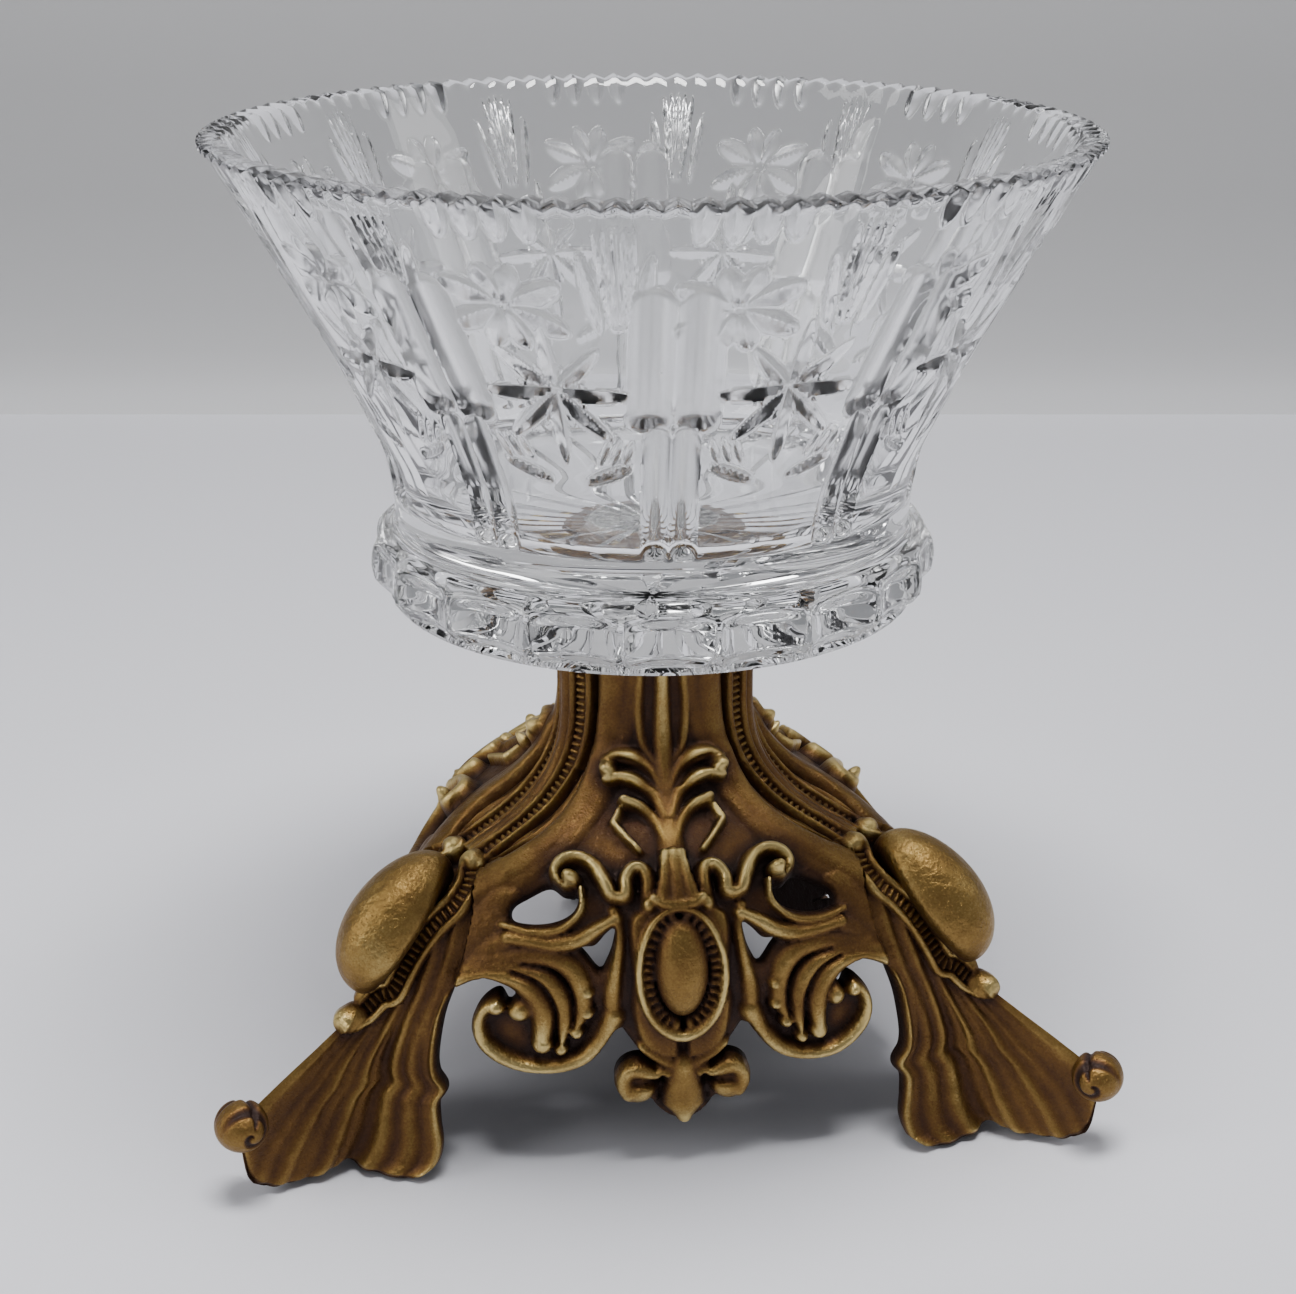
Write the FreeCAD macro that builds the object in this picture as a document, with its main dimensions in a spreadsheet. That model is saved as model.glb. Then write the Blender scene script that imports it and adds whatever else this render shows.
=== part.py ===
"""Cut-crystal sweet dish on an antique-gilt three-legged foot.

Frame: millimetres, +Z up, origin on the table under the middle of the whole
dish.  The front panel of the foot faces -Y and the third leg points to +Y.  The
foot is a hollow three-sided trumpet of three pierced panels and three corner
legs, closed by a cap that carries the bowl.  Each piece is drawn round the
bowl's own axis, and the finished pieces are moved together to the frame.
"""
import FreeCAD, Part
import math
import os

V = FreeCAD.Vector
UP = V(0, 0, 1)
SIDES = 3
# share of the leaf's height, share of its spread, radius of its ridge
LEAF_LEVELS = ((0.0, 1.0, 76.5), (0.34, 0.5, 80.5), (0.55, 0.3, 76.0),
               (0.77, 0.12, 67.0), (1.0, 0.0, 59.5))
# height, distance out at a panel's middle, distance out at a leg's ridge
WALL_LEVELS = ((87.7, 14.6, 17.3), (74.0, 14.7, 17.3), (67.0, 15.8, 18.6),
               (61.5, 18.8, 21.4), (57.0, 23.5, 23.9), (53.5, 28.6, 27.0),
               (50.5, 32.1, 31.3), (48.0, 34.5, 37.5), (45.0, 36.2, 44.5),
               (41.0, 37.2, 50.5), (36.0, 37.6, 55.0), (30.0, 37.8, 58.3),
               (2.0, 36.6, 60.0))

DIMENSIONS = {
    # bowl
    "rim_radius": 70.0, "rim_height": 165.8, "rim_wall": 4.6,
    "bowl_seat": 90.8, "ring_radius": 46.8, "ring_height": 11.0,
    "ring_bevel": 3.4, "waist_radius": 43.0, "shoulder_radius": 44.2,
    "shoulder_rise": 26.0, "floor_rise": 15.0, "well_radius": 37.0, "well_round": 9.0,
    "scallop_count": 20.0, "scallop_radius": 12.0, "scallop_depth": 2.2,
    # bond and cap
    "bond_radius": 12.0, "bond_height": 0.6, "cap_height": 2.5,
    # foot wall and the seam between panel and leg
    "foot_height": 90.2, "wall": 3.0, "wall_drop": 2.0, "ridge_wall": 4.6,
    "seam_top": 10.5, "seam_start": 75.0, "seam_low": 60.0, "seam_turn": 18.0,
    "seam_swell": 55.5, "seam_reach": 31.3, "seam_height": 47.8,
    "arch_side": 36.2, "arch_top": 32.5,
    # panel
    "scroll_radius": 8.5, "scroll_side": 23.2, "scroll_height": 27.0,
    "medal_half": 7.2, "medal_tall": 10.8, "medal_height": 36.6,
    "medal_back": 31.0, "medal_front": 41.6,
    "drop_top": 24.0, "drop_half": 3.5, "drop_waist": 9.5, "drop_tip": 3.6,
    "lobe_radius": 3.9, "lobe_side": 6.8, "lobe_height": 14.2,
    "eye_inner": 15.4, "eye_outer": 24.6, "eye_height": 47.2, "eye_half": 1.6, "eye_skew": 0.8,
    "gap_inner": 9.2, "gap_outer": 15.8, "gap_low": 38.0, "gap_middle": 42.6, "gap_high": 44.6,
    # leg
    "toe_reach": 82.2, "toe_height": 14.6, "toe_radius": 4.2,
    "leaf_side": 43.5, "leaf_front": 39.0, "leaf_root_side": 36.4, "leaf_root_front": 33.0,
    "leaf_top": 32.8, "leaf_wall": 3.0, "leaf_fold": 4.4,
    "knee_long": 13.4, "knee_short": 8.6, "knee_wide": 8.6,
    "knee_reach": 51.3, "knee_height": 41.6, "knee_slope": 48.0,
}


def make_sheet(doc):
    """Write every driving dimension into the sheet under its alias."""
    sheet = doc.addObject("Spreadsheet::Sheet", "Dimensions")
    for row, (alias, value) in enumerate(DIMENSIONS.items(), start=1):
        sheet.set("A%d" % row, alias)
        sheet.set("B%d" % row, str(value))
        sheet.setAlias("B%d" % row, alias)
    first = len(DIMENSIONS) + 1
    for row, level in enumerate(WALL_LEVELS, start=first):
        for column, name, value in zip("BDF", ("level", "middle", "ridge"), level):
            sheet.set("%s%d" % (column, row), str(value))
            sheet.setAlias("%s%d" % (column, row), "%s_%d" % (name, row - first))
    doc.recompute()
    return sheet


def origin_plane(body, role):
    return [f for f in body.Origin.OriginFeatures if f.Role == role][0]


def turned(angle):
    """Placement turned about the dish's own axis."""
    return FreeCAD.Placement(V(0, 0, 0), FreeCAD.Rotation(UP, angle))


def polyline(points):
    return [Part.makeLine(a, b) for a, b in zip(points, points[1:])]


def bezier(*poles):
    curve = Part.BezierCurve()
    curve.setPoles(list(poles))
    return curve.toShape()


def prism(edges, direction):
    """Solid swept straight from the flat region inside a closed chain of edges."""
    return Part.Face(Part.Wire(Part.__sortEdges__(edges))).extrude(direction)


# ---------------------------------------------------------------- bowl

def bowl_outline(s):
    """Half section of the bowl in the XZ plane, as points (radius, height)."""
    seat = s.bowl_seat
    ring_top = seat + s.ring_height
    shoulder = seat + s.shoulder_rise
    flare = (s.rim_radius - s.shoulder_radius) / (s.rim_height - shoulder)
    floor = seat + s.floor_rise
    inner_rim = s.rim_radius - s.rim_wall
    inner_low = inner_rim - (s.rim_height - floor - s.well_round) * flare
    outer = [(0, seat), (s.ring_radius - s.ring_bevel, seat),
             (s.ring_radius, seat + s.ring_bevel),
             (s.ring_radius, ring_top - s.ring_bevel),
             (s.waist_radius, ring_top), (s.shoulder_radius, shoulder),
             (s.rim_radius, s.rim_height)]
    inner = [(inner_rim, s.rim_height), (inner_low, floor + s.well_round),
             (s.well_radius - s.well_round, floor), (0, floor)]
    return outer + inner


def make_bowl(doc, sheet):
    """Turned bowl blank with round thumbprints cut round its base ring."""
    body = doc.addObject("PartDesign::Body", "crystal_bowl")
    body.Label = "crystal_bowl"
    section = body.newObject("Sketcher::SketchObject", "bowl_section")
    section.AttachmentSupport = [(origin_plane(body, "XZ_Plane"), "")]
    section.MapMode = "FlatFace"
    points = [V(r, z, 0) for r, z in bowl_outline(sheet)]
    for start, end in zip(points, points[1:] + points[:1]):
        section.addGeometry(Part.LineSegment(start, end))
    turn = body.newObject("PartDesign::Revolution", "bowl_turning")
    turn.Profile = section
    turn.ReferenceAxis = (section, ["V_Axis"])
    turn.Angle = 360
    doc.recompute()

    tool = doc.addObject("Part::Sphere", "thumbprint")
    tool.setExpression("Radius", "Dimensions.scallop_radius")
    reach = sheet.ring_radius + sheet.scallop_radius - sheet.scallop_depth
    height = sheet.bowl_seat + sheet.ring_height / 2
    tool.Placement = FreeCAD.Placement(V(reach, 0, height), FreeCAD.Rotation())
    doc.recompute()
    count = int(sheet.scallop_count)
    prints = [tool.Shape.rotated(V(0, 0, 0), UP, 360.0 * k / count) for k in range(count)]
    cutters = doc.addObject("Part::Feature", "thumbprints")
    band = Part.makeCylinder(sheet.rim_radius, sheet.ring_height,
                             V(0, 0, sheet.bowl_seat))
    cutters.Shape = Part.makeCompound([ball.common(band) for ball in prints])
    before = body.Shape.Volume
    cut = doc.addObject("Part::Cut", "cut_bowl")
    cut.Base = body
    cut.Tool = cutters
    doc.recompute()
    if cut.Shape.Volume >= before:
        raise RuntimeError("the thumbprints cut nothing")
    body.Label = "bowl_blank"
    cut.Label = "crystal_bowl"
    return cut


# ---------------------------------------------------------------- foot walls

def levels(s):
    """Heights of the foot's wall with its middle and ridge distances, from the sheet."""
    rows = []
    for k in range(len(WALL_LEVELS)):
        rows.append(tuple(getattr(s, "%s_%d" % (name, k)) for name in ("level", "middle", "ridge")))
    return rows


def outward(rows, column, height):
    """Distance out at a height, straight between the levels of the table."""
    for high, low in zip(rows, rows[1:]):
        if low[0] <= height <= high[0]:
            share = (high[0] - height) / (high[0] - low[0])
            return high[column] + share * (low[column] - high[column])
    return rows[0][column] if height > rows[0][0] else rows[-1][column]


def bowed(middle, ridge, height):
    """Arc across the front from ridge to ridge through the panel's middle."""
    turn = math.pi / SIDES
    x, y = ridge * math.sin(turn), -ridge * math.cos(turn)
    return Part.Arc(V(-x, y, height), V(0, -middle, height), V(x, y, height)).toShape()


def front_wall(s):
    """Front third of the foot's wall, mitred to its neighbours at the ridges."""
    rows = levels(s)
    wires = []
    for height, middle, ridge in rows:
        over = height + s.wall_drop
        inner = bowed(outward(rows, 1, over) - s.wall,
                      outward(rows, 2, over) - s.ridge_wall, height)
        outer = bowed(middle, ridge, height)
        ends = [Part.makeLine(a.Point, b.Point)
                for a, b in zip(outer.Vertexes, inner.Vertexes)]
        wires.append(Part.Wire(Part.__sortEdges__([outer, ends[1], inner, ends[0]])))
    return Part.makeLoft(wires, True, True)


def seam_edges(s, side):
    """Seam between panel and leg, from the neck's top down to the arch."""
    def at(x, z):
        return V(side * x, 0, z)
    return [Part.makeLine(at(s.seam_top, s.foot_height), at(s.seam_top, s.seam_start)),
            bezier(at(s.seam_top, s.seam_start), at(s.seam_top, s.seam_low),
                   at(s.seam_turn, s.seam_swell), at(s.seam_reach, s.seam_height)),
            Part.makeLine(at(s.seam_reach, s.seam_height), at(s.arch_side, s.arch_top))]


def panel_blank(s):
    """Front outline of a panel, from seam to seam, above its scrolls."""
    body_bottom = s.scroll_height - s.scroll_radius / 2
    lower = polyline([V(s.arch_side, 0, s.arch_top),
                      V(s.scroll_side, 0, s.scroll_height),
                      V(s.medal_half, 0, body_bottom),
                      V(-s.medal_half, 0, body_bottom),
                      V(-s.scroll_side, 0, s.scroll_height),
                      V(-s.arch_side, 0, s.arch_top)])
    top = [Part.makeLine(V(-s.seam_top, 0, s.foot_height), V(s.seam_top, 0, s.foot_height))]
    depth = V(0, -s.rim_radius, 0)
    return prism(seam_edges(s, 1) + lower + seam_edges(s, -1) + top, depth)


def pendant(s):
    """Three-lobed drop under the medallion."""
    depth = V(0, -s.rim_radius, 0)
    drop = prism(polyline([V(-s.drop_half, 0, s.drop_top), V(s.drop_half, 0, s.drop_top),
                           V(s.drop_half, 0, s.drop_waist), V(0, 0, s.drop_tip),
                           V(-s.drop_half, 0, s.drop_waist), V(-s.drop_half, 0, s.drop_top)]),
                 depth)
    lobes = [Part.makeCylinder(s.lobe_radius, s.rim_radius,
                               V(side * s.lobe_side, 0, s.lobe_height), V(0, -1, 0))
             for side in (-1, 1)]
    return drop.multiFuse(lobes)


def piercings(s):
    """Openings through a panel: an eye beside the collar, a gap beside the medallion."""
    eye = [(s.eye_inner, s.eye_height - s.eye_half + s.eye_skew),
           (s.eye_outer, s.eye_height - s.eye_half - s.eye_skew),
           (s.eye_outer, s.eye_height + s.eye_half - s.eye_skew),
           (s.eye_inner, s.eye_height + s.eye_half + s.eye_skew)]
    gap = [(s.gap_inner, s.gap_low), (s.gap_outer, s.gap_middle), (s.gap_inner, s.gap_high)]
    cuts = []
    for side in (-1, 1):
        for loop in (eye, gap):
            corners = [V(side * x, 0, z) for x, z in loop + loop[:1]]
            cuts.append(prism(polyline(corners), V(0, -s.rim_radius, 0)))
    return cuts


def make_panel_shape(s):
    """One pierced panel, facing -Y, without its medallion stone."""
    scrolls = [Part.makeCylinder(s.scroll_radius, s.rim_radius,
                                 V(side * s.scroll_side, 0, s.scroll_height), V(0, -1, 0))
               for side in (-1, 1)]
    outline = panel_blank(s).multiFuse(scrolls + [pendant(s)])
    outline = outline.common(Part.makeBox(2 * s.arch_side, s.rim_radius, s.foot_height,
                                          V(-s.arch_side, -s.rim_radius, 0)))
    for cut in piercings(s):
        outline = outline.cut(cut)
    return front_wall(s).common(outline)


def make_panel(doc, sheet, name, angle):
    """Pierced panel with the raised oval of its medallion."""
    plate = doc.addObject("Part::Feature", name + "_plate")
    plate.Shape = make_panel_shape(sheet)
    rim = doc.addObject("Part::Ellipse", name + "_oval")
    rim.setExpression("MajorRadius", "Dimensions.medal_tall")
    rim.setExpression("MinorRadius", "Dimensions.medal_half")
    upright = FreeCAD.Rotation(UP, V(-1, 0, 0), V(0, -1, 0), "ZXY")
    rim.Placement = FreeCAD.Placement(V(0, -sheet.medal_back, sheet.medal_height), upright)
    boss = doc.addObject("Part::Extrusion", name + "_medallion")
    boss.Base = rim
    boss.DirMode = "Normal"
    boss.Solid = True
    boss.setExpression("LengthFwd", "Dimensions.medal_front - Dimensions.medal_back")
    panel = doc.addObject("Part::MultiFuse", name)
    panel.Label = name
    panel.Shapes = [plate, boss]
    doc.recompute()
    panel.Placement = turned(angle)
    return panel


# ---------------------------------------------------------------- legs

def leaf_section(s, ridge, side, front, height):
    """Folded cut through the front-right leg's leaf: two arms that meet at the ridge."""
    turn = math.pi / SIDES
    along, across = V(math.sin(turn), -math.cos(turn), 0), V(math.cos(turn), math.sin(turn), 0)

    def mirrored(point):
        return point - across * (2 * point.dot(across))

    tip, fold = along * ridge, along * (ridge - s.leaf_fold)
    outer = V(side, -front, 0)
    inner = V(side, -front + s.leaf_wall, 0)
    points = [tip, outer, inner, fold, mirrored(inner), mirrored(outer), tip]
    return Part.makePolygon([point + UP * height for point in points])


def make_leaf(s):
    """Acanthus leaf of a leg: a folded sheet from the toe up to the knee."""
    wires = []
    for level, spread, ridge in LEAF_LEVELS:
        side = s.leaf_root_side + (s.leaf_side - s.leaf_root_side) * spread
        front = s.leaf_root_front + (s.leaf_front - s.leaf_root_front) * spread
        wires.append(leaf_section(s, ridge, side, front, s.leaf_top * level))
    return Part.makeLoft(wires, True, True)


def make_leg_shape(s):
    """Strip, knee web and leaf of the front-right leg, without knee and toe."""
    outer, foot = s.rim_radius, s.leaf_top - s.wall
    frame = polyline([V(s.arch_side, 0, s.arch_top), V(s.arch_side, 0, foot), V(outer, 0, foot),
                      V(outer, 0, s.foot_height), V(s.seam_top, 0, s.foot_height)])
    wing = front_wall(s).common(prism(seam_edges(s, 1) + frame, V(0, -s.rim_radius, 0)))
    turn = math.pi / SIDES
    swap = wing.mirror(V(0, 0, 0), V(math.cos(turn), math.sin(turn), 0))
    return wing.multiFuse([swap, make_leaf(s)]).removeSplitter()


def make_leg(doc, sheet, name, angle):
    """Corner leg with its domed knee and rolled toe."""
    web = doc.addObject("Part::Feature", name + "_web")
    web.Shape = make_leg_shape(sheet)
    knee = doc.addObject("Part::Ellipsoid", name + "_knee")
    knee.Angle1, knee.Angle2, knee.Angle3 = -90, 90, 360
    knee.setExpression("Radius1", "Dimensions.knee_long")
    knee.setExpression("Radius2", "Dimensions.knee_short")
    knee.setExpression("Radius3", "Dimensions.knee_wide")
    slope, side = math.radians(sheet.knee_slope), math.pi / SIDES
    reach = V(math.sin(side), -math.cos(side), 0)
    long_axis = reach * math.cos(slope) - UP * math.sin(slope)
    dome_axis = reach * math.sin(slope) + UP * math.cos(slope)
    turn = FreeCAD.Rotation(dome_axis, long_axis.cross(dome_axis), long_axis, "ZXY")
    knee.Placement = FreeCAD.Placement(reach * sheet.knee_reach + UP * sheet.knee_height, turn)
    toe = doc.addObject("Part::Sphere", name + "_toe")
    toe.setExpression("Radius", "Dimensions.toe_radius")
    toe.Placement = FreeCAD.Placement(reach * sheet.toe_reach + UP * sheet.toe_height,
                                      FreeCAD.Rotation())
    leg = doc.addObject("Part::MultiFuse", name)
    leg.Label = name
    leg.Shapes = [web, knee, toe]
    doc.recompute()
    leg.Placement = turned(angle)
    return leg


# ---------------------------------------------------------------- cap and bond

def make_cap(doc, sheet):
    """Bowed three-sided plate that closes the neck and carries the bowl."""
    height, middle, ridge = levels(sheet)[0]
    side = bowed(middle, ridge, height)
    around = [side.rotated(V(0, 0, 0), UP, 360.0 * k / SIDES) for k in range(SIDES)]
    rim = doc.addObject("Part::Feature", "cap_outline")
    rim.Shape = Part.Wire(Part.__sortEdges__(around))
    cap = doc.addObject("Part::Extrusion", "neck_cap")
    cap.Label = "neck_cap"
    cap.Base = rim
    cap.DirMode = "Custom"
    cap.Dir = UP
    cap.Solid = True
    cap.setExpression("LengthFwd", "Dimensions.cap_height")
    return cap


def make_bond(doc, sheet):
    """Disc of clear adhesive between cap and bowl."""
    bond = doc.addObject("Part::Cylinder", "adhesive_bed")
    bond.Label = "adhesive_bed"
    bond.setExpression("Radius", "Dimensions.bond_radius")
    bond.setExpression("Height", "Dimensions.bond_height")
    bond.Placement = FreeCAD.Placement(V(0, 0, sheet.foot_height), FreeCAD.Rotation())
    return bond


def check(doc, pieces):
    """Stop before anything is written if an object failed or a piece is not whole."""
    for thing in doc.Objects:
        if {"Invalid", "Error"} & set(thing.State):
            raise RuntimeError("%s is %s" % (thing.Name, thing.State))
    for piece in pieces:
        shape = piece.Shape
        if shape.isNull() or not shape.isValid() or len(shape.Solids) != 1:
            raise RuntimeError("%s: %d solids, valid %s"
                               % (piece.Label, len(shape.Solids), shape.isValid()))


def main():
    doc = FreeCAD.newDocument("dish")
    sheet = make_sheet(doc)
    pieces = [make_bowl(doc, sheet), make_bond(doc, sheet), make_cap(doc, sheet)]
    for k, name in enumerate(("front", "right", "left")):
        pieces.append(make_panel(doc, sheet, "panel_" + name, 360.0 * k / SIDES))
    for k, name in enumerate(("right", "rear", "left")):
        pieces.append(make_leg(doc, sheet, "leg_" + name, 360.0 * k / SIDES))
    back, front = sheet.toe_reach + sheet.toe_radius, sheet.rim_radius
    to_frame = FreeCAD.Placement(V(0, (front - back) / 2, 0), FreeCAD.Rotation())
    for piece in pieces:
        piece.Placement = to_frame.multiply(piece.Placement)
    doc.recompute()
    check(doc, pieces)
    os.makedirs("parts", exist_ok=True)
    for piece in pieces:
        piece.Shape.exportStep("parts/%s.step" % piece.Label)
        box = piece.Shape.BoundBox
        print("%-16s %9.1f mm3  x %.1f..%.1f  y %.1f..%.1f  z %.1f..%.1f" % (
            piece.Label, piece.Shape.Volume, box.XMin, box.XMax,
            box.YMin, box.YMax, box.ZMin, box.ZMax))


main()
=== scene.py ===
"""Footed cut-crystal dish: the looks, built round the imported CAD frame.

Panels, legs, knees and toes are fine relief meshes on the foot's own flared,
three-sided wall; the bowl is a turned wall with every wheel cut taken out of it.
Lengths are millimetres round the bowl's own axis, turned into metres and moved
to the frame when a mesh is made.
"""
import bpy
import math
import mathutils
import numpy as np
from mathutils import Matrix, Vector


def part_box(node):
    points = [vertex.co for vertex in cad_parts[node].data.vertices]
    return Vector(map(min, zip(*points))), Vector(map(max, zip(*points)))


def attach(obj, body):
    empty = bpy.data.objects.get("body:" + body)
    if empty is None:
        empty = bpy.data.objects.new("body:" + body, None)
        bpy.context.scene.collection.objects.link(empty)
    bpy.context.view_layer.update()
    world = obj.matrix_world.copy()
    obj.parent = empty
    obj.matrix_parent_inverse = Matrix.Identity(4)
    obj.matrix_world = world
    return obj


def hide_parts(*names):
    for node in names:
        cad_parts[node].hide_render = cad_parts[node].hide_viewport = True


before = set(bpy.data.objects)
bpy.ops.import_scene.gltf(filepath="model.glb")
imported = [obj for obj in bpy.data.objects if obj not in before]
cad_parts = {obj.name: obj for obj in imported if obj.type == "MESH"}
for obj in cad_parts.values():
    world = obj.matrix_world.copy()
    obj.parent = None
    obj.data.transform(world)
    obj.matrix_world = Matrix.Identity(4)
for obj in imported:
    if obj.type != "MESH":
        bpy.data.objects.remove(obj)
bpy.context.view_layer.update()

MM = 0.001

# ---------------- wall

SIDES = 3
CAP_LOW, CAP_HIGH = (corner[2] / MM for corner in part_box("neck_cap"))
AXIS_Y = (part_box("crystal_bowl")[0][1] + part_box("crystal_bowl")[1][1]) / 2 / MM
# run down the middle of a panel, distance out, height, and how fast the wall
# falls back to either side (per mm across, squared)
WALL = ((0, 14.6, 90.4, .0266), (14, 14.6, 76.4, .0265), (18, 14.8, 72.2, .0265), (21, 15.3, 69.2, .0259),
        (24, 16.1, 66.3, .0240), (27, 17.3, 63.6, .0213), (30, 19.0, 61.2, .0183), (33, 20.9, 59.1, .0153),
        (36, 23.2, 57.2, .0122), (39, 25.7, 55.6, .0096), (42, 28.0, 54.0, .0078), (45, 30.1, 52.3, .0066),
        (48, 32.1, 50.6, .0060), (51, 33.9, 48.8, .0054), (54, 35.4, 46.6, .0051), (57, 36.6, 44.1, .0048),
        (60, 37.2, 40.9, .0044), (64, 37.6, 36.6, .0037), (68, 37.8, 32.1, .0033), (72, 37.8, 27.5, .0030),
        (80, 37.6, 18.0, .0027), (94, 36.6, 4.6, .0025))
# a panel is drawn flat: the wall is a little wider where it hangs lower, and the
# middle of the casting leans to the right (both by run)
WIDEN = ((0, 1.0), (24, 1.017), (45, 1.04), (65, 1.045), (80, 1.05), (94, 1.06))
LEAN = ((0, 0.0), (45, 0.2), (64, 0.8), (94, 1.5))


def smooth_path(points, per_span=8, closed=False):
    """Catmull-Rom curve through given points."""
    p = np.array(points, float)
    if closed:
        p = np.vstack([p[-1], p, p[0], p[1]])
    else:
        p = np.vstack([2 * p[0] - p[1], p, 2 * p[-1] - p[-2]])
    t = np.linspace(0, 1, per_span, endpoint=False)[:, None]
    spans = []
    for a, b, c, d in zip(p, p[1:], p[2:], p[3:]):
        spans.append(0.5 * (2 * b + (c - a) * t + (2 * a - 5 * b + 4 * c - d) * t ** 2
                            + (3 * b - a - 3 * c + d) * t ** 3))
    if not closed:
        spans.append(p[-2:-1])
    return np.vstack(spans)


FINE_WALL = smooth_path(WALL, 10)


def wall_at(run):
    """Distance out, height and bow of the wall at a run down a panel's middle."""
    return [np.interp(run, FINE_WALL[:, 0], FINE_WALL[:, k]) for k in (1, 2, 3)]


def widened(run):
    return np.interp(run, *zip(*WIDEN))


def wall_point(across, run):
    """Point of the front wall (towards -Y) for a point of the flat drawing."""
    out, height, bow = wall_at(run)
    x = across * widened(run)
    fall = bow * x ** 2
    return np.stack([x, fall - out, height - 0.5 * fall], -1)


def ridge_across(run):
    """Where the front wall meets its neighbour, in the flat drawing."""
    out, _, bow = wall_at(run)
    slant = 1 / math.tan(math.pi / SIDES)
    x = (-slant + np.sqrt(slant ** 2 + 4 * bow * out)) / (2 * bow)
    return x / widened(run)


# ---------------- relief tools

def nearest(points, path):
    """Distance from each point to a polyline, and how far along it, 0 to 1."""
    seg = np.diff(path, axis=0)
    length = np.linalg.norm(seg, axis=1)
    start = np.concatenate([[0], np.cumsum(length)])
    best = np.full(len(points), 1e9)
    along = np.zeros(len(points))
    for origin, step, size, before in zip(path, seg, length, start):
        if size < 1e-9:
            continue
        rel = points - origin
        t = np.clip(rel @ step / size ** 2, 0, 1)
        gap = np.linalg.norm(rel - t[:, None] * step, axis=1)
        closer = gap < best
        best[closer] = gap[closer]
        along[closer] = (before + t[closer] * size) / start[-1]
    return best, along


def inside(points, loop):
    """Whether each 2D point is inside a closed polygon."""
    x, y = points[:, 0], points[:, 1]
    hit = np.zeros(len(points), bool)
    for (x0, y0), (x1, y1) in zip(loop, np.roll(loop, -1, axis=0)):
        cross = (y0 > y) != (y1 > y)
        edge = x0 + (y - y0) * (x1 - x0) / (y1 - y0 + 1e-12)
        hit ^= cross & (x < edge)
    return hit


def signed(points, loop):
    """Distance into a closed shape: positive inside, negative outside."""
    gap, _ = nearest(points, np.vstack([loop, loop[:1]]))
    return np.where(inside(points, loop), gap, -gap)


def ramp(x):
    """Smooth step from 0 to 1."""
    x = np.clip(x, 0, 1)
    return x * x * (3 - 2 * x)


def hump(x, width):
    """Bell curve of height 1."""
    return np.exp(-(x / width) ** 2)


def arc(x):
    """Half circle over -1 to 1."""
    return np.sqrt(np.clip(1 - x ** 2, 0, 1))


# ribs of the castings are worn: wider and lower than they are drawn
RIB_SPREAD = 1.28
RIB_RISE = 0.9


class Relief:
    """Height of a casting over its base wall, built up from ridges and domes."""

    def __init__(self, points):
        self.points = points
        self.height = np.zeros(len(points))

    def put(self, where, level):
        """Set the height where a mask holds."""
        self.height = np.where(where, level, self.height)

    def lift(self, where, level):
        """Raise to at least a level where a mask holds."""
        self.put(where, np.maximum(self.height, level))

    def rib(self, path, widths, tall, base=0.0, smooth=True):
        """Rounded rib along a path; widths are half-widths from start to end."""
        line = smooth_path(path) if smooth else np.array(path, float)
        gap, along = nearest(self.points, line)
        half = np.interp(along, np.linspace(0, 1, len(widths)), widths) * RIB_SPREAD
        q = gap / half
        shape = base + tall * RIB_RISE * np.clip(1 - q ** 2, 0, 1) ** 0.7
        self.lift(q < 1, shape)

    def cut(self, path, width, deep):
        """Soft groove along a path."""
        gap, _ = nearest(self.points, smooth_path(path))
        self.height -= deep * hump(gap, width)

    def dome(self, centre, radii, tall, base=0.0):
        """Rounded dome in the plane of a drawing."""
        q = (((self.points - centre) / radii) ** 2).sum(1)
        self.lift(q < 1, base + tall * np.sqrt(np.clip(1 - q, 0, 1)))

    def plate(self, loop, tall, edge):
        """Raised flat area with a soft edge."""
        depth = signed(self.points, np.array(loop, float))
        self.height = np.maximum(self.height, tall * ramp(depth / edge))

    def sink(self, loop, deep, edge):
        """Sunk flat area with a soft edge."""
        depth = signed(self.points, np.array(loop, float))
        self.height -= deep * ramp(depth / edge)

    def teeth(self, path, half, pitch, tall, base):
        """Row of dentils along a path."""
        line = smooth_path(path)
        gap, along = nearest(self.points, line)
        total = np.linalg.norm(np.diff(line, axis=0), axis=1).sum()
        count = max(1, round(total / pitch))
        wave = np.clip(0.5 + 0.9 * np.cos(2 * math.pi * count * along), 0, 1)
        row = base + tall * wave * np.clip((half - gap) / 0.3, 0, 1)
        self.put(gap < half, row)


# ---------------- panel drawing
# A panel is drawn in (across, run): across from its middle, run down the wall.

# seam between panel and leg: run down the panel, distance across
SEAM = ((0, 10.3), (13, 10.3), (16, 10.4), (19, 10.6), (22, 11.05), (25, 11.75), (28, 12.75), (31, 14.1),
        (34, 15.9), (36, 17.5), (38, 19.45), (40, 21.9), (42, 24.9), (43.5, 27.4), (45, 29.9), (50, 30.75),
        (55, 31.6), (60, 32.8), (65.3, 34.5))
ARCH_RUN = SEAM[-1][0]
PANEL_TOP = float(np.interp(-CAP_LOW, -FINE_WALL[:, 2], FINE_WALL[:, 0]))
PANEL_END = 91.0


def seam_at(run):
    return np.interp(run, *zip(*SEAM))


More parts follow.
